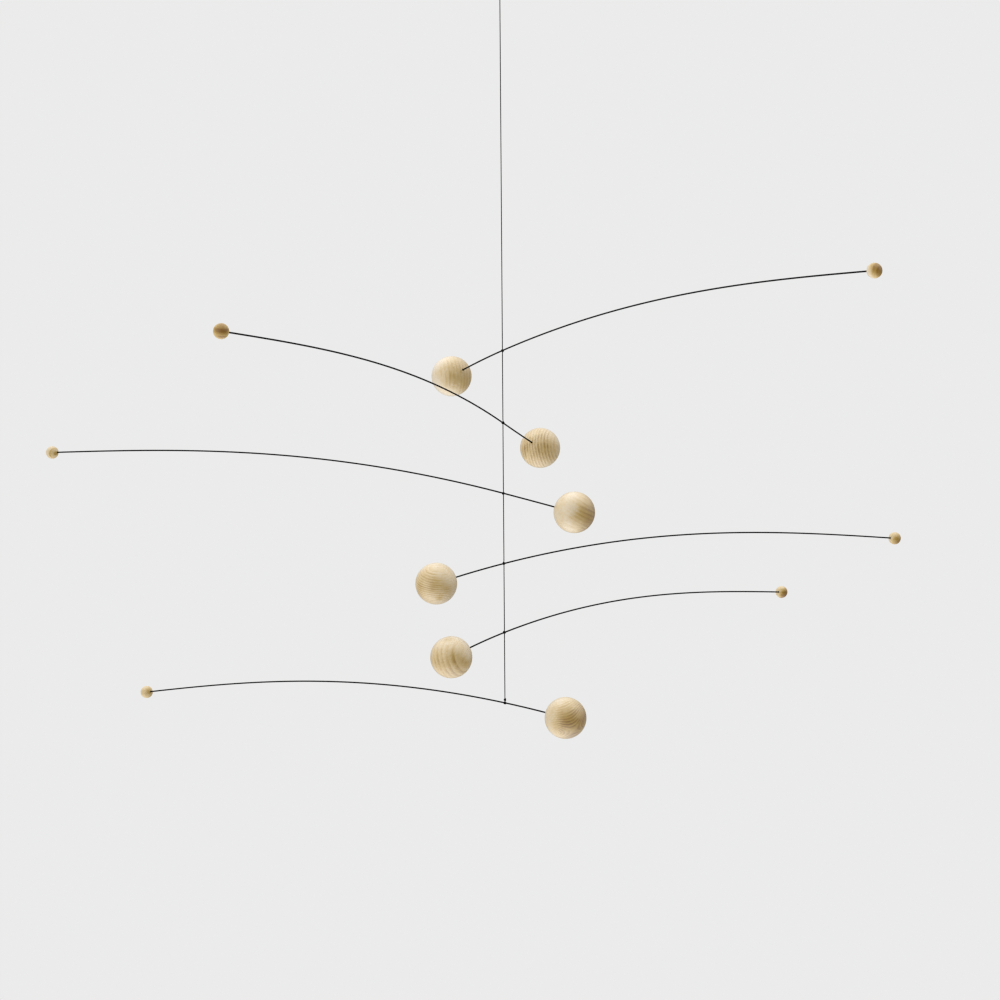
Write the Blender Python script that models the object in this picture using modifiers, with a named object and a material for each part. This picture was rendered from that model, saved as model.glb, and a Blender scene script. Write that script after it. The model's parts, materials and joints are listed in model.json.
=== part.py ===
"""A hanging mobile: six bowed wire arms, one above another on a plumb line.

Each arm joins a large wooden ball, close to the line, to a small one far out on the other side.
Blender 4.5, in metres, +Z up. The origin is the point where the loop at the top of the line bears
on its hook. +X is to the right and -Y towards a viewer standing in front.
"""

import math
from collections import namedtuple

import bpy
from mathutils import Vector

# Balls and wire
LARGE_BALL_DIAMETER = 0.040
SMALL_BALL_DIAMETER = 0.0132
WIRE_DIAMETER = 0.0015
ARM_LENGTH = 0.600  # along the wire, from the centre of one ball to the centre of the other
LARGE_HOLE_DEPTH = 0.014
SMALL_HOLE_DEPTH = 0.005

# Line, from the hook down
LINE_DIAMETER = 0.0010
LINE_ABOVE = 0.385  # from the hook to the first tie
LOOP_LENGTH = 0.032
LOOP_WIDTH = 0.012
LOOP_KNOT_TURNS = 3
END_KNOT_TURNS = 2
HITCH_TURNS = 3

# Clearances
HOLE_CLEARANCE = 0.0003  # round the wire, in a ball and in a hitch
GAP = 0.0003  # between pieces that meet end to end

# The six arms, from the top one down, in metres and degrees
TIE_SPACING = 0.0685  # line between one tie and the next, before an arm's own difference
BALL_REACH = 0.0820  # wire from the tie to the large ball's centre, before an arm's own difference
TIE_SHIFTS = (0.0, 0.0018, 0.0, -0.0002, -0.0015, 0.0)
REACH_SHIFTS = (0.0045, 0.0033, -0.0049, -0.0004, 0.0043, -0.0043)
TURNS = (-52.7, -116.8, 155.4, 35.4, 52.8, 138.6)  # where the long end points, anticlockwise from +X
TILTS = (12.4, 16.5, 13.9, 10.8, 11.2, 6.9)  # the long end's rise at the tie
LONG_BOWS = (12.8, 14.4, 14.6, 14.3, 13.4, 13.3)  # how much the long end bends down on its way out
BOW_FADES = (3.5, 1.4, 3.0, 2.2, 1.7, 3.1)  # how late that bend fades out
SHORT_BOWS = (4.3, -1.3, 0.6, 3.5, 4.5, 2.8)  # how much the short end bends
Arm = namedtuple("Arm", "tie_shift reach turn tilt long_bow bow_fade short_bow")
REACHES = [BALL_REACH + shift for shift in REACH_SHIFTS]
COLUMNS = (TIE_SHIFTS, REACHES, TURNS, TILTS, LONG_BOWS, BOW_FADES, SHORT_BOWS)
ARMS = [Arm(*sizes) for sizes in zip(*COLUMNS)]

# Fineness of the solids
LARGE_BALL_STEPS = 20
SMALL_BALL_STEPS = 14
THREAD_STEPS = 8
WIRE_POINTS = 28
LOOP_POINTS = 25
LINE_POINT_SPACING = 0.010
THREAD_ARC_POINTS = 3  # on the bulge of one wound turn
BOW_SUMS = 120  # short lengths that a bow is summed from

# Looks: colour, roughness, metallic
BEECH = ((0.56, 0.40, 0.20), 0.45, 0.0)
BLACK_STEEL = ((0.012, 0.012, 0.012), 0.35, 0.6)
DARK_THREAD = ((0.020, 0.019, 0.018), 0.80, 0.0)

COLLECTION_NAME = "hanging_mobile"


def clear_scene():
    for obj in list(bpy.data.objects):
        bpy.data.objects.remove(obj, do_unlink=True)


def make_collection():
    collection = bpy.data.collections.new(COLLECTION_NAME)
    bpy.context.scene.collection.children.link(collection)
    return collection


def make_material(name, look):
    colour, roughness, metallic = look
    material = bpy.data.materials.new(name)
    material.use_nodes = True
    shader = material.node_tree.nodes["Principled BSDF"]
    shader.inputs["Base Color"].default_value = (*colour, 1.0)
    shader.inputs["Roughness"].default_value = roughness
    shader.inputs["Metallic"].default_value = metallic
    return material


def place(obj, collection, material, parent=None, location=(0, 0, 0), along=None):
    """Puts an object in the collection; along is the way its own +Z points."""
    obj.data.materials.append(material)
    obj.parent = parent
    obj.location = location
    if along is not None:
        obj.rotation_euler = Vector(along).to_track_quat("Z", "Y").to_euler()
    collection.objects.link(obj)
    return obj


def turned(name, profile, steps, closed=False):
    """A turned piece about its own Z; the profile is (radius, height) points, top to bottom."""
    corners = [(radius, 0.0, height) for radius, height in profile]
    edges = [(i, i + 1) for i in range(len(corners) - 1)]
    if closed:
        edges.append((len(corners) - 1, 0))
    mesh = bpy.data.meshes.new(name)
    mesh.from_pydata(corners, edges, [])
    obj = bpy.data.objects.new(name, mesh)
    lathe = obj.modifiers.new("turned", "SCREW")
    lathe.axis = "Z"
    lathe.steps = steps
    lathe.render_steps = steps
    lathe.use_merge_vertices = True
    lathe.merge_threshold = 0.00001
    lathe.use_smooth_shade = True
    return obj


def round_rod(name, points, diameter):
    """A rod or thread along a row of points, with flat closed ends."""
    curve = bpy.data.curves.new(name, "CURVE")
    curve.dimensions = "3D"
    curve.bevel_depth = diameter / 2
    curve.bevel_resolution = 2
    curve.use_fill_caps = True
    spline = curve.splines.new("POLY")
    spline.points.add(len(points) - 1)
    for spot, point in zip(spline.points, points):
        spot.co = (*point, 1.0)
    spline.use_smooth = True
    return bpy.data.objects.new(name, curve)


def heading(arm, s):
    """The wire's rise, in radians, at a length s from the tie, positive towards the small ball."""
    if s < 0:
        return math.radians(arm.tilt + arm.short_bow * -s / arm.reach)
    t = s / (ARM_LENGTH - arm.reach)
    bent = ((arm.bow_fade + 1) * t - t ** (arm.bow_fade + 1)) / arm.bow_fade
    return math.radians(arm.tilt - arm.long_bow * bent)


def wire_point(arm, s):
    """A point on the wire's centreline in the arm's own upright plane, with the tie at the origin."""
    step = s / BOW_SUMS
    rises = [heading(arm, (i + 0.5) * step) for i in range(BOW_SUMS)]
    along = sum(math.cos(rise) for rise in rises) * step
    up = sum(math.sin(rise) for rise in rises) * step
    return Vector((along, 0.0, up))


def wire_direction(arm, s):
    rise = heading(arm, s)
    return Vector((math.cos(rise), 0.0, math.sin(rise)))


def ball_profile(diameter, hole_depth, steps):
    """Half the outline of a drilled ball: hole bottom, hole wall, then round to the far pole."""
    radius = diameter / 2
    hole = WIRE_DIAMETER / 2 + HOLE_CLEARANCE
    first = math.asin(hole / radius)
    rings = steps // 2
    angles = [first + (math.pi - first) * i / rings for i in range(rings)]
    around = [(radius * math.sin(a), radius * math.cos(a)) for a in angles]
    bottom = radius - hole_depth
    return [(0.0, bottom), (hole, bottom), *around, (0.0, -radius)]


def wound_bulges(turns, core):
    """The outer side of thread wound side by side on a core, top to bottom."""
    bulge = LINE_DIAMETER / 2
    points = []
    for turn in range(turns):
        middle = (turns - 1 - 2 * turn) * bulge
        for i in range(THREAD_ARC_POINTS):
            angle = math.pi * (i + 0.5) / THREAD_ARC_POINTS
            points.append((core + bulge + bulge * math.sin(angle), middle + bulge * math.cos(angle)))
    return points


def knot_length(turns):
    return turns * LINE_DIAMETER


def knot(name, turns):
    """A knot as a solid lump: turns of thread wound round the line itself."""
    core = LINE_DIAMETER / 4
    half = knot_length(turns) / 2
    profile = [(0.0, half), *wound_bulges(turns, core), (0.0, -half)]
    return turned(name, profile, THREAD_STEPS)


def hitch(name):
    """The line wound round a wire, as a band with the wire's hole through it."""
    core = WIRE_DIAMETER / 2 + HOLE_CLEARANCE
    half = knot_length(HITCH_TURNS) / 2
    profile = [(core, half), *wound_bulges(HITCH_TURNS, core), (core, -half)]
    return turned(name, profile, THREAD_STEPS, closed=True)


def hitch_reach(arm):
    """How far a hitch stands above or below its tie, on the line's own axis."""
    radius = WIRE_DIAMETER / 2 + HOLE_CLEARANCE + LINE_DIAMETER
    return radius / math.cos(math.radians(arm.tilt))


def tie_heights():
    """The height of each tie, from the top one down."""
    heights = [-LINE_ABOVE]
    for arm in ARMS[1:]:
        heights.append(heights[-1] - TIE_SPACING - arm.tie_shift)
    return heights


def loop_knot_top():
    return -LOOP_LENGTH


def straight_points(top, bottom):
    count = max(2, round((top - bottom) / LINE_POINT_SPACING) + 1)
    return [(0.0, 0.0, top + (bottom - top) * i / (count - 1)) for i in range(count)]


def loop_points():
    """A drop-shaped loop: round where it bears on the hook, drawn in to two legs at the knot."""
    top = LINE_DIAMETER / 2
    height = top - loop_knot_top() - GAP
    widest = 0.77  # of the drop formula below, at its fullest
    leg = LINE_DIAMETER / 2 + GAP
    first = math.sqrt(4 * leg * widest / LOOP_WIDTH)
    points = []
    for i in range(LOOP_POINTS):
        angle = first + (2 * math.pi - 2 * first) * i / (LOOP_POINTS - 1)
        across = LOOP_WIDTH / 2 / widest * math.sin(angle) * math.sin(angle / 2)
        share = (math.cos(first) - math.cos(angle)) / (math.cos(first) + 1)
        points.append((across, 0.0, top - height * (1 - share)))
    return points


def make_line(collection, thread):
    """The loop, its knot, the lengths of line between the ties, and the knot that ends it."""
    place(round_rod("hanging_loop", loop_points(), LINE_DIAMETER), collection, thread)
    loop_knot_length = knot_length(LOOP_KNOT_TURNS)
    middle = (0, 0, loop_knot_top() - loop_knot_length / 2)
    place(knot("loop_knot", LOOP_KNOT_TURNS), collection, thread, location=middle)
    top = loop_knot_top() - loop_knot_length - GAP
    ties = tie_heights()
    for number, (arm, tie) in enumerate(zip(ARMS, ties), 1):
        bottom = tie + hitch_reach(arm) + GAP
        if number == len(ARMS):
            end_knot_length = knot_length(END_KNOT_TURNS)
            middle = (0, 0, bottom + end_knot_length / 2)
            place(knot("end_knot", END_KNOT_TURNS), collection, thread, location=middle)
            bottom += end_knot_length + GAP
        piece = round_rod(f"line_{number}", straight_points(top, bottom), LINE_DIAMETER)
        place(piece, collection, thread)
        top = tie - hitch_reach(arm) - GAP


def make_ball(name, size, arm, s, inwards, collection, wood, parent):
    """A drilled ball at one end of the wire; inwards is 1 or -1, the way along s to the tie."""
    diameter, hole_depth, steps = size
    ball = turned(name, ball_profile(diameter, hole_depth, steps), steps)
    along = wire_direction(arm, s) * inwards
    place(ball, collection, wood, parent, wire_point(arm, s), along)


def make_arm(number, arm, tie, collection, wood, steel, thread):
    """One arm, with its parts on an empty at the tie that turns about the line."""
    pivot = bpy.data.objects.new(f"arm_{number}_turn", None)
    pivot.location = (0, 0, tie)
    pivot.rotation_euler = (0, 0, math.radians(arm.turn))
    collection.objects.link(pivot)

    large_centre = -arm.reach
    small_centre = ARM_LENGTH - arm.reach
    first = large_centre + LARGE_BALL_DIAMETER / 2 - LARGE_HOLE_DEPTH + GAP
    last = small_centre - SMALL_BALL_DIAMETER / 2 + SMALL_HOLE_DEPTH - GAP
    spots = [first + (last - first) * i / (WIRE_POINTS - 1) for i in range(WIRE_POINTS)]
    wire = round_rod(f"wire_arm_{number}", [wire_point(arm, s) for s in spots], WIRE_DIAMETER)
    place(wire, collection, steel, pivot)

    large = (LARGE_BALL_DIAMETER, LARGE_HOLE_DEPTH, LARGE_BALL_STEPS)
    small = (SMALL_BALL_DIAMETER, SMALL_HOLE_DEPTH, SMALL_BALL_STEPS)
    make_ball(f"large_ball_{number}", large, arm, large_centre, 1, collection, wood, pivot)
    make_ball(f"small_ball_{number}", small, arm, small_centre, -1, collection, wood, pivot)
    wound = hitch(f"hitch_{number}")
    place(wound, collection, thread, pivot, along=wire_direction(arm, 0.0))


def main():
    clear_scene()
    collection = make_collection()
    wood = make_material("beech", BEECH)
    steel = make_material("black_steel", BLACK_STEEL)
    thread = make_material("dark_thread", DARK_THREAD)
    make_line(collection, thread)
    for number, (arm, tie) in enumerate(zip(ARMS, tie_heights()), 1):
        make_arm(number, arm, tie, collection, wood, steel, thread)


main()
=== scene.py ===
import json
import math
from collections import namedtuple

import bpy
from mathutils import Matrix, Vector

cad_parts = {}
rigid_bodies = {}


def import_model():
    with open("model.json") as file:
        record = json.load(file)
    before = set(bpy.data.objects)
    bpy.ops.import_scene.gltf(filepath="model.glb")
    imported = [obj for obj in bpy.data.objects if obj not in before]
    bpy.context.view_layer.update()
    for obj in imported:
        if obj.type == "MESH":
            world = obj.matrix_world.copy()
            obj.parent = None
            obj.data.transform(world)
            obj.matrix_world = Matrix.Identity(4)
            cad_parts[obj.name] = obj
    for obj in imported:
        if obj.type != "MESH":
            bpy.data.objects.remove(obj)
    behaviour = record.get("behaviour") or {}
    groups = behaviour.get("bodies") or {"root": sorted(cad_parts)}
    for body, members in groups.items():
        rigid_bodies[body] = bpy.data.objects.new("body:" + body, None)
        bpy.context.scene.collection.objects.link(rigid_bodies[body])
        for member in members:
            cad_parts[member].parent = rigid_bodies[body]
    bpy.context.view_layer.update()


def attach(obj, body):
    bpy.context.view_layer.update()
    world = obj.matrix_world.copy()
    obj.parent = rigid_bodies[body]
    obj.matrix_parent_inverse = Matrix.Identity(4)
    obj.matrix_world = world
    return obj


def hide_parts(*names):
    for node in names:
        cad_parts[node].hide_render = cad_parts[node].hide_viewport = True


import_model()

# Camera, on the side the picture was taken from
CAMERA_PLACE = (-0.0034, -2.8, -0.5303)
CAMERA_ROLL = 0.416  # degrees
CAMERA_LENS = 103.66  # mm, on a sensor 36 mm wide
SENSOR_WIDTH = 36.0
CRISPNESS = 1.35  # width, in points of the picture, that each point is averaged over

# Studio: each soft light's height and bearing in degrees, how narrow it is, and its strength
SOFT_LIGHTS = ((75, 160, 3.8, 2.30), (-1, 221, 22.0, 1.42), (-79, 174, 4.9, 2.50), (35, 3, 8.0, 1.00))
EVEN_LIGHT = 0.06
BACKDROP = 0.8308
FLOOR_HEIGHT = -2.4
FLOOR_RADIUS = 3.0
FLOOR_SIDES = 64

# Balls and wire
LARGE_BALL_DIAMETER = 0.040
SMALL_BALL_DIAMETER = 0.0132
WIRE_DIAMETER = 0.0015
ARM_LENGTH = 0.600
LARGE_HOLE_DEPTH = 0.014
SMALL_HOLE_DEPTH = 0.005

# Thread
LINE_DIAMETER = 0.0010
HITCH_THREAD = 0.0007  # the same thread where a hitch draws it tight
LINE_ABOVE = 0.385
LOOP_LENGTH = 0.032
LOOP_WIDTH = 0.012
LOOP_KNOT_TURNS = 3
END_KNOT_TURNS = 2  # thread diameters that the knot stands above the last hitch
END_KNOT_WRAPS = 3  # turns it is drawn with, in that height and down onto the hitch
END_KNOT_PITCH = 0.85  # thread diameters from one of those turns to the next
KNOT_RADIUS = 0.75  # thread diameters from the line's middle to the middle of a knot's turn
KNOT_TUCK = 0.75  # share of that radius by which a knot's two ends are drawn in
HITCH_TURNS = 3
HITCH_BEND = 1.6  # thread diameters that a hitch's bends reach above and below the wire
GAP = 0.0003

# The six arms, from the top one down, in metres and degrees, as the solids have them
TIE_SPACING = 0.0685
BALL_REACH = 0.0820
TIE_SHIFTS = (0.0, 0.0018, 0.0, -0.0002, -0.0015, 0.0)
REACH_SHIFTS = (0.0045, 0.0033, -0.0049, -0.0004, 0.0043, -0.0043)
TURNS = (-52.7, -116.8, 155.4, 35.4, 52.8, 138.6)
TILTS = (12.4, 16.5, 13.9, 10.8, 11.2, 6.9)
LONG_BOWS = (12.8, 14.4, 14.6, 14.3, 13.4, 13.3)
BOW_FADES = (3.5, 1.4, 3.0, 2.2, 1.7, 3.1)
SHORT_BOWS = (4.3, -1.3, 0.6, 3.5, 4.5, 2.8)
Arm = namedtuple("Arm", "reach turn tilt long_bow bow_fade short_bow")
REACHES = [BALL_REACH + shift for shift in REACH_SHIFTS]
ARMS = [Arm(*sizes) for sizes in zip(REACHES, TURNS, TILTS, LONG_BOWS, BOW_FADES, SHORT_BOWS)]

# How fine the pieces are made
BOW_SUMS = 120  # short straight steps that a point of a bowed wire is summed from
WIRE_STEP = 0.004
WIRE_SIDES = 16
WIRE_SMOOTH = 40.0  # degrees of turn between faces, past which an edge stays sharp
THREAD_SMOOTH = 75.0
BALL_SMOOTH = 35.0
LARGE_BALL_STEPS = (96, 60)  # faces round a ball, and from pole to pole
SMALL_BALL_STEPS = (64, 24)
STRANDS = 3
STRAND_POINTS = 4  # points of a thread's outline on each of its strands
STRAND_VALLEY = 0.90  # of the thread's radius, between two strands
THREAD_LAY = 3.0  # thread diameters that a strand takes to go once round
HITCH_STEPS = 14  # route points in one turn
BEND_STEPS = 6  # steps in a bend that leads in to a hitch or out of it
LOOP_POINTS = 61
LINE_SPACING = 0.010
HOLE_RADIUS = 0.0011
HOLE_EASE = 0.0002
MERGE_REACH = 0.00002  # how near the ends of two repeated units are when they join

# Each ball's wood. Grain: the way the pith runs (height and bearing, degrees), which way and how far off it
# lies from the ball's centre (degrees round the pith, mm), the rings' width (mm), and how far along a ring
# the centre is. Look: how dark the rings are, and the wood all over, then the height, bearing and strength
# of a painted shade: one side of the ball, towards the camera, darkened where the studio's light leaves
# shade.
WOOD_FIELDS = "pith_up pith_round off_round off ring start depth tone brown_up brown_round brown"
Wood = namedtuple("Wood", WOOD_FIELDS)
LARGE_WOODS = (
    Wood(80, -90, 180, 45.0, 3.70, 0.30, 0.17, 0.03, 8, -45, 0.40),
    Wood(-9, 78, -3, 95.0, 2.90, 0.34, 0.40, 0.19, -5, -100, 0.15),
    Wood(-28, 20, 75, 30.0, 3.60, 0.10, 0.23, 0.14, -12, -8, 0.54),
    Wood(-4, 3, 306, 57.51, 2.11, 0.54, 0.34, 0.16, -25, -130, 0.18),
    Wood(-38, 238, 6, 103.0, 4.68, 0.75, 0.32, 0.19, -45, -105, 0.17),
    Wood(-20, 193, 144, 12.5, 1.60, 0.28, 0.37, 0.19, -20, -45, 0.38),
)
SMALL_WOODS = (
    Wood(70, 20, 30, 30, 3.6, 0.2, 0.20, 0.03, 8, -52, 0.78),
    Wood(8, 172, 80, 40, 6.0, 0.40, 0.42, 0.04, 14, -80, 0.68),
    Wood(20, 40, 10, 25, 3.5, 0.7, 0.30, 0.07, -10, -60, 0.20),
    Wood(60, 120, 50, 30, 3.7, 0.1, 0.25, 0.13, -40, -25, 0.55),
    Wood(10, 70, 90, 35, 3.4, 0.4, 0.25, 0.18, -30, -20, 0.74),
    Wood(40, 200, 20, 30, 3.8, 0.9, 0.25, 0.15, -5, -20, 0.10),
)
MM = 0.001
RING_WAVER = 1.2  # mm that the rings stray by
LARGE_SHINE = (1.0, 1.0)  # how much the wood itself and the oil coat over it reflect
SMALL_SHINE = (0.6, 0.12)
WOOD_ROUGHNESS = (0.34, 0.14)  # the least, and what the coarsest fibres add
COAT_ROUGHNESS = 0.36
WOOD_BUMP = (0.10, 0.0002)  # strength, and height in metres
WOOD_TONES = (  # from the palest wood to the darkest ring
    (0.0, (0.62, 0.535, 0.41)),
    (0.33, (0.515, 0.360, 0.122)),
    (0.66, (0.34, 0.200, 0.020)),
    (1.0, (0.18, 0.075, 0.002)),
)

# How the wood's pattern goes. A ring darkens slowly and ends sharply, at these shares of its width.
RING_DARKENS = (0.15, 0.80)
RING_ENDS = (0.84, 1.0)
RING_STRENGTHS = (0.6, 0.7)  # the faintest ring's, and what the strongest has besides
SHADE_SIDE_RINGS = (0.20, 0.9)  # the rings' strength away from the painted shade side, and what they gain on it: more painted shade
SHADE_SIDE_REACH = (-0.25, 1.0)  # where the painted shade side begins and is full, as a cosine from its middle
BREAK_REACH = (0.25, 0.60)  # the break noise at which a ring is gone, and at which it is whole
FLECK_REACH = (0.60, 0.70)
FIBRE_TONE = 0.36
FLECK_TONE = 0.06
PATCH_TONE = 0.5
FIBRE_HEIGHT = 0.6
RING_HEIGHT = 0.4
Noise = namedtuple("Noise", "scale detail stretch")
WAVER_NOISE = Noise(0.09, 2.0, (1, 1, 0.35))  # scale per mm; a last stretch under 1 runs along the pith
BREAK_NOISE = Noise(0.13, 2.0, (1, 1, 0.5))
FIBRE_NOISE = Noise(1.0, 3.0, (0.75, 0.75, 0.10))
FLECK_NOISE = Noise(1.0, 1.0, (0.9, 0.9, 0.30))
PATCH_NOISE = Noise(0.07, 2.0, None)

# Plain finishes, each a speckle of two colours, its scale per metre
Finish = namedtuple("Finish", "name dark light scale roughness specular bump")
DARK_THREAD = Finish("dark_thread", (0.020, 0.019, 0.018), (0.050, 0.049, 0.048), 4000, 0.9, 0.05, 0.3)
TIGHT_THREAD = Finish("tight_thread", (0.003, 0.003, 0.003), (0.010, 0.009, 0.009), 4000, 0.8, 0.05, 0.3)
BLACK_WIRE = Finish("black_wire", (0.003, 0.003, 0.003), (0.008, 0.008, 0.008), 600, 0.65, 0.08, 0.05)
# Painted shade: dark brown for the walls and rim of a ball's wire hole, where shade falls in it
HOLE_SHADE = Finish("painted_hole_shade", (0.05, 0.025, 0.01), (0.10, 0.05, 0.02), 2500, 0.8, 0.2, 0.2)
PALE_FLOOR = Finish("pale_floor", (0.53, 0.53, 0.53), (0.55, 0.55, 0.55), 3.0, 0.9, 0.2, 0.0)
SPECKLE_DETAIL = 4.0
SPECKLE_BAND = (0.25, 0.75)  # where along the noise the darker and the lighter colour stand
SPECKLE_ROUGHNESS = 0.2  # how far the roughness varies in all
SPECKLE_HEIGHT = 0.00005


def only(piece):
    """Selects one piece and nothing else."""
    bpy.ops.object.select_all(action="DESELECT")
    piece.select_set(True)
    bpy.context.view_layer.objects.active = piece


def edit(piece):
    """Opens a piece for editing with nothing of it selected."""
    only(piece)
    bpy.ops.object.mode_set(mode="EDIT")
    bpy.ops.mesh.select_mode(type="VERT")
    bpy.ops.mesh.select_all(action="DESELECT")


def pick(piece, wanted):
    """Selects the vertices of the piece being edited whose place passes a test."""
    bpy.ops.object.mode_set(mode="OBJECT")
    for vertex in piece.data.vertices:
        vertex.select = wanted(vertex.co)
    bpy.ops.object.mode_set(mode="EDIT")


def close_and_smooth(piece, angle):
    """Closes the open ends of the piece being edited, turns its faces outwards and shades it smooth."""
    bpy.ops.mesh.select_all(action="SELECT")
    bpy.ops.mesh.fill_holes(sides=0)
    bpy.ops.mesh.select_all(action="SELECT")
    bpy.ops.mesh.normals_make_consistent(inside=False)
    bpy.ops.object.mode_set(mode="OBJECT")
    only(piece)
    bpy.ops.object.shade_smooth_by_angle(angle=math.radians(angle))


def settle(piece, place=None):
    """Puts a piece where it belongs and leaves its object at the origin."""
    only(piece)
    if place is not None:
        piece.matrix_world = place
    bpy.ops.object.transform_apply(location=True, rotation=True, scale=True)
    return piece


def copied(piece, name, place):
    """A copy of a finished piece, with its own mesh, at a place of its own."""
    twin = piece.copy()
    twin.data = piece.data.copy()
    twin.name = name
    bpy.context.scene.collection.objects.link(twin)
    return settle(twin, place)


def repeated(piece, unit, count):
    """The open unit along +X repeated end to end, its joints merged."""
    row = piece.modifiers.new("row", "ARRAY")
    row.count = count
    row.use_relative_offset = False
    row.use_constant_offset = True
    row.constant_offset_displace = (unit, 0, 0)
    row.use_merge_vertices = True
    row.merge_threshold = MERGE_REACH
    only(piece)
    bpy.ops.object.modifier_apply(modifier=row.name)


def straight_wire(name, length):
    """A straight round wire along +X from the origin."""
    count = round(length / WIRE_STEP)
    unit = length / count
    quarter = (0, math.pi / 2, 0)
    bpy.ops.mesh.primitive_circle_add(vertices=WIRE_SIDES, radius=WIRE_DIAMETER / 2, rotation=quarter)
    wire = bpy.context.object
    wire.name = name
    settle(wire)
    edit(wire)
    bpy.ops.mesh.select_all(action="SELECT")
    bpy.ops.mesh.extrude_region_move(TRANSFORM_OT_translate={"value": (unit, 0, 0)})
    bpy.ops.object.mode_set(mode="OBJECT")
    repeated(wire, unit, count)
    edit(wire)
    close_and_smooth(wire, WIRE_SMOOTH)
    return wire


def straight_thread(name, length, diameter):
    """A straight thread of strands twisted together, along +X from the origin."""
    strand_turn = diameter * THREAD_LAY / STRANDS  # as long as a strand takes to reach the next one's place
    count = max(1, round(length / strand_turn))
    unit = length / count
    points = STRAND_POINTS * STRANDS
    quarter = (0, math.pi / 2, 0)
    bpy.ops.mesh.primitive_circle_add(vertices=points, radius=diameter / 2, rotation=quarter)
    thread = bpy.context.object
    thread.name = name
    settle(thread)
    edit(thread)
    bpy.ops.object.mode_set(mode="OBJECT")
    for vertex in thread.data.vertices:
        vertex.select = vertex.index % STRAND_POINTS == STRAND_POINTS // 2
    bpy.ops.object.mode_set(mode="EDIT")
    bpy.ops.transform.resize(value=(1, STRAND_VALLEY, STRAND_VALLEY))
    bpy.ops.mesh.select_all(action="SELECT")
    for step in range(STRAND_POINTS):
        along = unit / STRAND_POINTS
        bpy.ops.mesh.extrude_region_move(TRANSFORM_OT_translate={"value": (along, 0, 0)})
        middle = ((step + 1) * along, 0, 0)
        bpy.ops.transform.rotate(value=2 * math.pi / points, orient_axis="X", center_override=middle)
    bpy.ops.object.mode_set(mode="OBJECT")
    repeated(thread, unit, count)
    edit(thread)
    close_and_smooth(thread, THREAD_SMOOTH)
    return thread


def route_length(points):
    """How long a route is along its points."""
    return sum((Vector(b) - Vector(a)).length for a, b in zip(points, points[1:]))


def laid(piece, points):
    """Bends a straight piece that starts at the origin along +X so that it follows a route."""
    curve = bpy.data.curves.new("route", "CURVE")
    curve.dimensions = "3D"
    spline = curve.splines.new("POLY")
    spline.points.add(len(points) - 1)
    for spot, point in zip(spline.points, points):
        spot.co = (*point, 1.0)
    route = bpy.data.objects.new("route", curve)
    bpy.context.scene.collection.objects.link(route)
    bend = piece.modifiers.new("bend", "CURVE")
    bend.object = route
    bend.deform_axis = "POS_X"
    only(piece)
    bpy.ops.object.modifier_apply(modifier=bend.name)
    bpy.data.objects.remove(route)
    return piece


def carried(piece, body, slot, *nodes):
    """Sets a piece on a body in place of the solids it stands for."""
    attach(piece, body)
    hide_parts(*nodes)


def finished(piece, body, slot, material, *nodes):
    """Gives a piece its one finish, and sets it on its body."""
    piece.data.materials.append(material)
    carried(piece, body, slot, *nodes)


# Where the arms are

def heading(arm, s):
    """The wire's rise, in radians, at a length s from the tie, positive towards the small ball."""
    if s < 0:
        return math.radians(arm.tilt + arm.short_bow * -s / arm.reach)
    t = s / (ARM_LENGTH - arm.reach)
    bent = ((arm.bow_fade + 1) * t - t ** (arm.bow_fade + 1)) / arm.bow_fade
    return math.radians(arm.tilt - arm.long_bow * bent)


def wire_point(arm, s):
    """A point of the wire's centreline in the arm's own upright plane, with the tie at the origin."""
    step = s / BOW_SUMS
    rises = [heading(arm, (i + 0.5) * step) for i in range(BOW_SUMS)]
    return Vector((sum(map(math.cos, rises)) * step, 0.0, sum(map(math.sin, rises)) * step))


def wire_direction(arm, s):
    """The way the wire runs at a length s from the tie, in the arm's own plane."""
    return Vector((math.cos(heading(arm, s)), 0.0, math.sin(heading(arm, s))))


def tie_heights():
    """How high each tie is, from the top arm down."""
    heights = [-LINE_ABOVE]
    for shift in TIE_SHIFTS[1:]:
        heights.append(heights[-1] - TIE_SPACING - shift)
    return heights


def arm_place(arm, tie):
    """The arm's own plane in the room: at its tie, turned about the line."""
    return Matrix.Translation((0, 0, tie)) @ Matrix.Rotation(math.radians(arm.turn), 4, "Z")


def make_camera():
    """The camera, level, and turned a little about its own view."""
    upright = (math.pi / 2, math.radians(CAMERA_ROLL), 0)
    bpy.ops.object.camera_add(location=CAMERA_PLACE, rotation=upright)
    camera = bpy.context.object
    camera.data.sensor_width = SENSOR_WIDTH
    camera.data.lens = CAMERA_LENS
    bpy.context.scene.camera = camera
    bpy.context.scene.cycles.filter_width = CRISPNESS


# Line, loop and knots

def thread_along(name, points):
    """Thread of the line's own thickness, laid along a route."""
    return laid(straight_thread(name, route_length(points), LINE_DIAMETER), points)


def tight_thread_along(name, points):
    """Thread drawn thinner by its own pull, and as thick as the line again at its two ends."""
    length = route_length(points)
    thread = straight_thread(name, length, HITCH_THREAD)
    edit(thread)
    pick(thread, lambda at: min(at.x, length - at.x) < HITCH_THREAD)
    full = LINE_DIAMETER / HITCH_THREAD
    bpy.ops.transform.resize(value=(1, full, full), center_override=(0, 0, 0))
    bpy.ops.object.mode_set(mode="OBJECT")
    return laid(thread, points)


def hitch_reach():
    """How far the thread's bends reach above and below a tie."""
    return WIRE_DIAMETER / 2 + HITCH_BEND * LINE_DIAMETER


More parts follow.
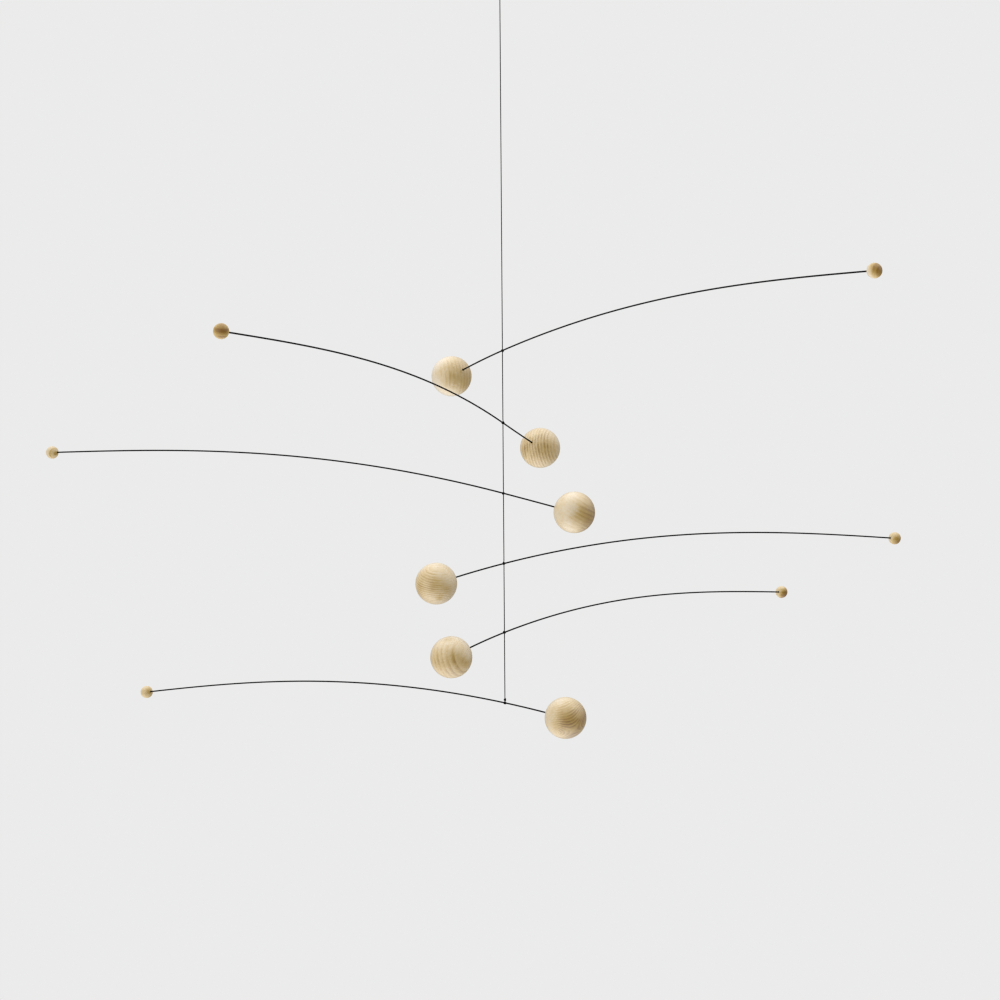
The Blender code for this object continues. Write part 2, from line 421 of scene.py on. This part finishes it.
def hitch_route(arm, last):
    """Thread from the line above, wound on the wire, then on down, or back up at the last tie."""
    along = wire_direction(arm, 0.0)
    over = Vector((-along.z, 0, along.x))
    beside = Vector((0, 1, 0))
    radius = (WIRE_DIAMETER + HITCH_THREAD) / 2
    turns = HITCH_TURNS - 0.5 if last else HITCH_TURNS - 1
    steps = round(turns * HITCH_STEPS)
    wound = []
    for i in range(steps + 1):
        angle = math.pi / 2 + 2 * math.pi * i / HITCH_STEPS
        shift = HITCH_THREAD * (i / HITCH_STEPS - turns / 2)
        wound.append(along * shift + (over * math.cos(angle) + beside * math.sin(angle)) * radius)
    top = Vector((0, 0, hitch_reach()))
    bottom = top if last else -top
    return eased(top, Vector((0, 0, -1)), wound, bottom, Vector((0, 0, 1 if last else -1)))


def eased(start, away, wound, end, onward):
    """A wound route with smooth bends led in to it from its start and out of it to its end."""
    lead = between(start, away, wound[0], (wound[1] - wound[0]).normalized())
    trail = between(wound[-1], (wound[-1] - wound[-2]).normalized(), end, onward)
    return lead[:-1] + wound + trail[1:]


def between(a, a_way, b, b_way):
    """A smooth bend from a to b that leaves and arrives along the given ways."""
    pull = (b - a).length
    points = []
    for i in range(BEND_STEPS + 1):
        t = i / BEND_STEPS
        h = (2 * t**3 - 3 * t**2 + 1, t**3 - 2 * t**2 + t, 3 * t**2 - 2 * t**3, t**3 - t**2)
        points.append(a * h[0] + a_way * pull * h[1] + b * h[2] + b_way * pull * h[3])
    return points


def knot_route(turns, pitch):
    """Thread wound round the line, its two ends drawn in under the turns."""
    radius = KNOT_RADIUS * LINE_DIAMETER
    half = (turns - 1) * pitch / 2
    steps = (turns - 1) * HITCH_STEPS
    past = 2  # route points past the first and last turn where the ends stop climbing
    wound = []
    for i in range(-HITCH_STEPS // 2, steps + HITCH_STEPS // 2 + 1):
        inside = max(0, -i, i - steps) / (HITCH_STEPS / 2)
        angle = 2 * math.pi * i / HITCH_STEPS
        out = radius * (1 - KNOT_TUCK * inside)
        rise = half - pitch * min(max(i, -past), steps + past) / HITCH_STEPS
        wound.append(Vector((out * math.cos(angle), out * math.sin(angle), rise)))
    return wound


def loop_points():
    """A drop-shaped loop: round where it bears on the hook, drawn in to two legs at the knot."""
    top = LINE_DIAMETER / 2
    height = top + LOOP_LENGTH
    widest = 0.77  # of the drop formula below, at its fullest
    leg = LINE_DIAMETER / 2
    first = math.sqrt(4 * leg * widest / LOOP_WIDTH)
    points = []
    for i in range(LOOP_POINTS):
        angle = first + (2 * math.pi - 2 * first) * i / (LOOP_POINTS - 1)
        across = LOOP_WIDTH / 2 / widest * math.sin(angle) * math.sin(angle / 2)
        share = (math.cos(first) - math.cos(angle)) / (math.cos(first) + 1)
        points.append(Vector((across, 0.0, top - height * (1 - share))))
    return points


def straight_points(top, bottom):
    """Evenly spaced points of a plumb length of the line."""
    count = max(2, round((top - bottom) / LINE_SPACING) + 1)
    return [Vector((0.0, 0.0, top + (bottom - top) * i / (count - 1))) for i in range(count)]


def make_thread(material, knot_material):
    """The loop and its knot, the line from tie to tie, the end knot and the six hitches."""
    loop = thread_along("hanging_loop_thread", loop_points())
    finished(loop, "line", "thread", material, "hanging_loop")
    knot = thread_along("loop_knot_thread", knot_route(LOOP_KNOT_TURNS, LINE_DIAMETER))
    knot_middle = -LOOP_LENGTH - LOOP_KNOT_TURNS * LINE_DIAMETER / 2
    settle(knot, Matrix.Translation((0, 0, knot_middle)))
    finished(knot, "line", "thread", knot_material, "loop_knot")
    end_height = END_KNOT_TURNS * LINE_DIAMETER
    ties = tie_heights()
    end_pitch = END_KNOT_PITCH * LINE_DIAMETER
    end_knot = thread_along("end_knot_thread", knot_route(END_KNOT_WRAPS, end_pitch))
    end_middle = ties[-1] + hitch_reach() + end_height - END_KNOT_WRAPS * end_pitch / 2
    settle(end_knot, Matrix.Translation((0, 0, end_middle)))
    finished(end_knot, "line", "thread", knot_material, "end_knot")

    top = -LOOP_LENGTH - LOOP_KNOT_TURNS * LINE_DIAMETER
    for number, (arm, tie) in enumerate(zip(ARMS, ties), 1):
        last = number == len(ARMS)
        bottom = tie + hitch_reach() + (end_height if last else 0)
        route = straight_points(top, bottom)
        piece = thread_along(f"line_{number}_thread", route)
        finished(piece, "line", "thread", material, f"line_{number}")
        hitch = tight_thread_along(f"hitch_{number}_thread", hitch_route(arm, last))
        settle(hitch, arm_place(arm, tie))
        finished(hitch, f"arm_{number}", "thread", knot_material, f"hitch_{number}")
        top = tie - hitch_reach()


# Wires and balls

def make_wire(number, arm, tie, material):
    """One arm's bowed wire, from inside its large ball to inside its small one."""
    first = -arm.reach + LARGE_BALL_DIAMETER / 2 - LARGE_HOLE_DEPTH + GAP
    last = ARM_LENGTH - arm.reach - SMALL_BALL_DIAMETER / 2 + SMALL_HOLE_DEPTH - GAP
    count = round((last - first) / WIRE_STEP)
    route = [wire_point(arm, first + (last - first) * i / count) for i in range(count + 1)]
    wire = laid(straight_wire(f"wire_{number}_black", last - first), route)
    settle(wire, arm_place(arm, tie))
    finished(wire, f"arm_{number}", "wire", material, f"wire_arm_{number}")


def drilled_ball(name, diameter, hole_depth, steps, hole_shade):
    """A turned ball with a hole for the wire sunk in at its upper pole, the hole's walls in painted shade.
    """
    segments, rings = steps
    bpy.ops.mesh.primitive_uv_sphere_add(segments=segments, ring_count=rings, radius=diameter / 2)
    ball = bpy.context.object
    ball.name = name
    settle(ball)
    edit(ball)
    first_ring = diameter / 2 * math.sin(math.pi / rings)
    just_past = 1.1 * first_ring
    pick(ball, lambda at: at.z > 0 and math.hypot(at.x, at.y) < just_past)
    widen = HOLE_RADIUS / first_ring
    bpy.ops.transform.resize(value=(widen, widen, 1), center_override=(0, 0, 0))
    bpy.ops.mesh.select_mode(type="FACE")
    bpy.ops.mesh.inset(thickness=HOLE_EASE)
    bpy.ops.transform.translate(value=(0, 0, -HOLE_EASE))
    bpy.ops.mesh.extrude_region_move(TRANSFORM_OT_translate={"value": (0, 0, HOLE_EASE - hole_depth)})
    bpy.ops.mesh.select_more()
    # The hole's walls and rim take the second finish, a painted shade
    ball.data.materials.append(None)
    ball.data.materials.append(hole_shade)
    ball.active_material_index = 1
    bpy.ops.object.material_slot_assign()
    close_and_smooth(ball, BALL_SMOOTH)
    return ball


# Finishes

def node(tree, kind, feeds=None, **settings):
    """A new node; feeds gives its inputs by name or number, each a value or another node's output."""
    made = tree.nodes.new(kind)
    for name, value in settings.items():
        setattr(made, name, value)
    for name, value in (feeds or {}).items():
        if isinstance(value, bpy.types.NodeSocket):
            tree.links.new(value, made.inputs[name])
        else:
            made.inputs[name].default_value = value
    return made


def maths(tree, operation, *values):
    """The result of one sum of two or three values."""
    return node(tree, "ShaderNodeMath", dict(enumerate(values)), operation=operation).outputs[0]


def eased_step(tree, value, low, high):
    """0 below low, 1 above high, and smooth between."""
    feeds = {"Value": value, "From Min": low, "From Max": high}
    return node(tree, "ShaderNodeMapRange", feeds, interpolation_type="SMOOTHSTEP").outputs["Result"]


def vector_maths(tree, operation, a, b):
    """The results, by number or name, of one sum of two vectors."""
    return node(tree, "ShaderNodeVectorMath", {0: a, 1: b}, operation=operation).outputs


def noise(tree, point, scale, detail, stretch=None):
    """Soft noise from 0 to 1; stretch squeezes or draws it out along the point's own axes."""
    if stretch is not None:
        point = vector_maths(tree, "MULTIPLY", point, stretch)[0]
    feeds = {"Vector": point, "Scale": scale, "Detail": detail}
    return node(tree, "ShaderNodeTexNoise", feeds).outputs["Fac"]


def colour_steps(tree, value, steps):
    """Colours that run smoothly into each other as the value rises."""
    ramp = node(tree, "ShaderNodeValToRGB", {0: value})
    ramp.color_ramp.interpolation = "B_SPLINE"
    for spot, (at, colour) in enumerate(steps):
        if spot < 2:
            stop = ramp.color_ramp.elements[spot]
            stop.position = at
        else:
            stop = ramp.color_ramp.elements.new(at)
        stop.color = (*colour, 1)
    return ramp.outputs["Color"]


def ring_strength(tree, grain, count, side):
    """How strong each ring is: its own strength, broken here and there, and more on the side with painted
    shade.
    """
    every = node(tree, "ShaderNodeTexWhiteNoise", {"W": maths(tree, "FLOOR", count)}, noise_dimensions="1D")
    faintest, more = RING_STRENGTHS
    strength = maths(tree, "MULTIPLY_ADD", every.outputs["Value"], more, faintest)
    breaks = eased_step(tree, noise(tree, grain, *BREAK_NOISE), *BREAK_REACH)
    strength = maths(tree, "MULTIPLY", strength, breaks)
    away, gain = SHADE_SIDE_RINGS
    return maths(tree, "MULTIPLY", strength, maths(tree, "MULTIPLY_ADD", side, gain, away))


def wood_sockets(tree):
    """What the wood takes in and gives out."""
    vectors = ("Grain", "Side", "Brown Way")
    for name in vectors + ("Ring Width", "Start", "Depth", "Tone", "Brown"):
        kind = "NodeSocketVector" if name in vectors else "NodeSocketFloat"
        tree.interface.new_socket(name, in_out="INPUT", socket_type=kind)
    for name, kind in (("Color", "Color"), ("Roughness", "Float"), ("Height", "Float")):
        tree.interface.new_socket(name, in_out="OUTPUT", socket_type="NodeSocket" + kind)


def wood_group():
    """Turned wood grown in rings round the pith, with fibres along it, flecks, browner patches and a painted
    shade on one side.
    """
    tree = bpy.data.node_groups.new("turned_wood", "ShaderNodeTree")
    wood_sockets(tree)
    given = tree.nodes.new("NodeGroupInput").outputs
    grain = given["Grain"]

    across = vector_maths(tree, "MULTIPLY", grain, (1, 1, 0))[0]
    distance = node(tree, "ShaderNodeVectorMath", {0: across}, operation="LENGTH").outputs["Value"]
    waver = maths(tree, "MULTIPLY_ADD", noise(tree, grain, *WAVER_NOISE), RING_WAVER, distance)
    waver = maths(tree, "SUBTRACT", waver, RING_WAVER / 2)
    count = maths(tree, "ADD", maths(tree, "DIVIDE", waver, given["Ring Width"]), given["Start"])
    along_ring = maths(tree, "FRACT", count)
    ending = maths(tree, "SUBTRACT", 1.0, eased_step(tree, along_ring, *RING_ENDS))
    late = maths(tree, "MULTIPLY", eased_step(tree, along_ring, *RING_DARKENS), ending)
    # Painted shade: darker wood, and stronger rings, on the side that faces the given way
    facing = vector_maths(tree, "DOT_PRODUCT", given["Side"], given["Brown Way"])["Value"]
    side = eased_step(tree, facing, *SHADE_SIDE_REACH)
    brown = maths(tree, "MULTIPLY", side, given["Brown"])
    strength = ring_strength(tree, grain, count, side)
    rings = maths(tree, "MULTIPLY", maths(tree, "MULTIPLY", late, given["Depth"]), strength)

    fibres = noise(tree, grain, *FIBRE_NOISE)
    flecks = eased_step(tree, noise(tree, grain, *FLECK_NOISE), *FLECK_REACH)
    patches = noise(tree, grain, *PATCH_NOISE)

    dark = maths(tree, "ADD", given["Tone"], rings)
    dark = maths(tree, "ADD", dark, brown)
    dark = maths(tree, "MULTIPLY_ADD", maths(tree, "SUBTRACT", fibres, 0.5), FIBRE_TONE, dark)
    dark = maths(tree, "MULTIPLY_ADD", flecks, FLECK_TONE, dark)
    dark = maths(tree, "MULTIPLY_ADD", maths(tree, "SUBTRACT", patches, 0.5), PATCH_TONE, dark)
    colour = colour_steps(tree, dark, WOOD_TONES)
    smoothest, coarser = WOOD_ROUGHNESS
    roughness = maths(tree, "MULTIPLY_ADD", fibres, coarser, smoothest)
    fibre_height = maths(tree, "MULTIPLY", fibres, FIBRE_HEIGHT)
    height = maths(tree, "ADD", fibre_height, maths(tree, "MULTIPLY", late, RING_HEIGHT))
    output = tree.nodes.new("NodeGroupOutput")
    for name, value in (("Color", colour), ("Roughness", roughness), ("Height", height)):
        tree.links.new(value, output.inputs[name])
    return tree


def new_material(name):
    """A new material, with its nodes and its shader."""
    material = bpy.data.materials.new(name)
    material.use_nodes = True
    tree = material.node_tree
    return material, tree, tree.nodes["Principled BSDF"]


def room_point(tree):
    """Where in the room a point of the piece was made."""
    return node(tree, "ShaderNodeTexCoord").outputs["Object"]


def bearing(up, round_about):
    """The way that points so many degrees up, and so many round from +X towards +Y."""
    rise, turn = math.radians(up), math.radians(round_about)
    return Vector((math.cos(rise) * math.cos(turn), math.cos(rise) * math.sin(turn), math.sin(rise)))


def set_out(tree, place, turn, size):
    """The room's points as seen from a place, turned and sized."""
    feeds = {"Vector": room_point(tree), "Location": place, "Rotation": turn, "Scale": (size, size, size)}
    return node(tree, "ShaderNodeMapping", feeds, vector_type="TEXTURE").outputs[0]


def give_finish(tree, shader, colour, roughness, height, bump):
    """Links a finish to the shader, with its height as bump of a given strength and distance."""
    strength, distance = bump
    feeds = {"Height": height, "Strength": strength, "Distance": distance}
    uneven = node(tree, "ShaderNodeBump", feeds)
    tree.links.new(colour, shader.inputs["Base Color"])
    tree.links.new(roughness, shader.inputs["Roughness"])
    tree.links.new(uneven.outputs[0], shader.inputs["Normal"])


def wood_material(name, group, wood, shine, centre, radius):
    """The wood of one ball, set out from its own centre."""
    material, tree, shader = new_material(name)
    pith = bearing(wood.pith_up, wood.pith_round)
    level = pith.cross(Vector((0, 0, 1))).normalized()
    off_round = math.radians(wood.off_round)
    off_way = level * math.cos(off_round) + pith.cross(level) * math.sin(off_round)
    grain_turn = Matrix((off_way, pith.cross(off_way), pith)).transposed().to_euler()
    grain = set_out(tree, centre + off_way * wood.off * MM, grain_turn, MM)
    side = set_out(tree, centre, (0, 0, 0), radius)
    start = (wood.start - wood.off / wood.ring) % 1.0
    # The painted shade's way is given in room directions, not along the grain
    feeds = {"Grain": grain, "Side": side, "Brown Way": bearing(wood.brown_up, wood.brown_round),
             "Ring Width": wood.ring, "Start": start,
             "Depth": wood.depth, "Tone": wood.tone, "Brown": wood.brown}
    given = node(tree, "ShaderNodeGroup", feeds, node_tree=group).outputs
    give_finish(tree, shader, given["Color"], given["Roughness"], given["Height"], WOOD_BUMP)
    shader.inputs["Specular IOR Level"].default_value = shine[0]
    shader.inputs["Coat Weight"].default_value = shine[1]
    shader.inputs["Coat Roughness"].default_value = COAT_ROUGHNESS
    return material


def speckled_material(finish):
    """A finish that varies a little between two colours, with its own unevenness."""
    material, tree, shader = new_material(finish.name)
    grain = noise(tree, room_point(tree), finish.scale, SPECKLE_DETAIL)
    darker, lighter = SPECKLE_BAND
    colour = colour_steps(tree, grain, ((darker, finish.dark), (lighter, finish.light)))
    smoothest = finish.roughness - SPECKLE_ROUGHNESS / 2
    rough = maths(tree, "MULTIPLY_ADD", grain, SPECKLE_ROUGHNESS, smoothest)
    give_finish(tree, shader, colour, rough, grain, (finish.bump, SPECKLE_HEIGHT))
    shader.inputs["Specular IOR Level"].default_value = finish.specular
    return material


def dress_ball(stock, name, body, slot, place, material):
    """A copy of the turned ball at its place on its arm, in its own wood."""
    ball = copied(stock, name + "_wood", place)
    ball.material_slots[0].material = material
    carried(ball, body, slot, name)


def make_arms(black, hole_shade):
    """The six wires and their balls."""
    large = drilled_ball("large_stock", LARGE_BALL_DIAMETER, LARGE_HOLE_DEPTH, LARGE_BALL_STEPS, hole_shade)
    small = drilled_ball("small_stock", SMALL_BALL_DIAMETER, SMALL_HOLE_DEPTH, SMALL_BALL_STEPS, hole_shade)
    group = wood_group()
    for number, (arm, tie) in enumerate(zip(ARMS, tie_heights()), 1):
        make_wire(number, arm, tie, black)
        large_wood = LARGE_WOODS[number - 1]
        small_wood = SMALL_WOODS[number - 1]
        for stock, size, diameter, s, inwards, wood, shine in (
                (large, "large", LARGE_BALL_DIAMETER, -arm.reach, 1, large_wood, LARGE_SHINE),
                (small, "small", SMALL_BALL_DIAMETER, ARM_LENGTH - arm.reach, -1, small_wood, SMALL_SHINE)):
            name = f"{size}_ball_{number}"
            turn = (wire_direction(arm, s) * inwards).to_track_quat("Z", "Y").to_matrix().to_4x4()
            centre = arm_place(arm, tie) @ wire_point(arm, s)
            place = arm_place(arm, tie) @ Matrix.Translation(wire_point(arm, s)) @ turn
            material = wood_material(name, group, wood, shine, centre, diameter / 2)
            dress_ball(stock, name, f"arm_{number}", size + "_balls", place, material)
    for stock in (large, small):
        bpy.data.objects.remove(stock)


# Light and room

def soft_light(tree, way, light):
    """One broad soft light of the studio, strongest from its own side and fading away round it."""
    up, round_about, narrowness, strength = light
    facing = vector_maths(tree, "DOT_PRODUCT", way, bearing(up, round_about))["Value"]
    share = maths(tree, "MULTIPLY_ADD", facing, 0.5, 0.5)
    return maths(tree, "MULTIPLY", maths(tree, "POWER", share, narrowness), strength)


def make_light():
    """The studio: soft lights above, on either side and below, and an even grey for the camera alone."""
    world = bpy.data.worlds.new("studio")
    bpy.context.scene.world = world
    world.use_nodes = True
    tree = world.node_tree
    way = tree.nodes.new("ShaderNodeTexCoord").outputs["Generated"]
    total = EVEN_LIGHT
    for light in SOFT_LIGHTS:
        total = maths(tree, "ADD", soft_light(tree, way, light), total)
    background = tree.nodes["Background"]
    background.inputs["Color"].default_value = (1, 1, 1, 1)
    tree.links.new(total, background.inputs["Strength"])
    backdrop = tree.nodes.new("ShaderNodeBackground")
    backdrop.inputs["Color"].default_value = (BACKDROP, BACKDROP, BACKDROP, 1)
    choice = tree.nodes.new("ShaderNodeMixShader")
    seen = tree.nodes.new("ShaderNodeLightPath").outputs["Is Camera Ray"]
    tree.links.new(seen, choice.inputs["Fac"])
    tree.links.new(background.outputs[0], choice.inputs[1])
    tree.links.new(backdrop.outputs[0], choice.inputs[2])
    tree.links.new(choice.outputs[0], tree.nodes["World Output"].inputs["Surface"])
    bpy.context.scene.view_settings.view_transform = "Standard"


def make_floor():
    """A pale floor well below, only to be looked at: the light from below passes it."""
    middle = (0, 0, FLOOR_HEIGHT)
    bpy.ops.mesh.primitive_circle_add(
        vertices=FLOOR_SIDES, radius=FLOOR_RADIUS, fill_type="NGON", location=middle)
    floor = bpy.context.object
    floor.name = "floor"
    floor.data.materials.append(speckled_material(PALE_FLOOR))
    floor.visible_diffuse = False
    floor.visible_glossy = False
    floor.visible_shadow = False


make_camera()
make_thread(speckled_material(DARK_THREAD), speckled_material(TIGHT_THREAD))
make_arms(speckled_material(BLACK_WIRE), speckled_material(HOLE_SHADE))
make_light()
make_floor()
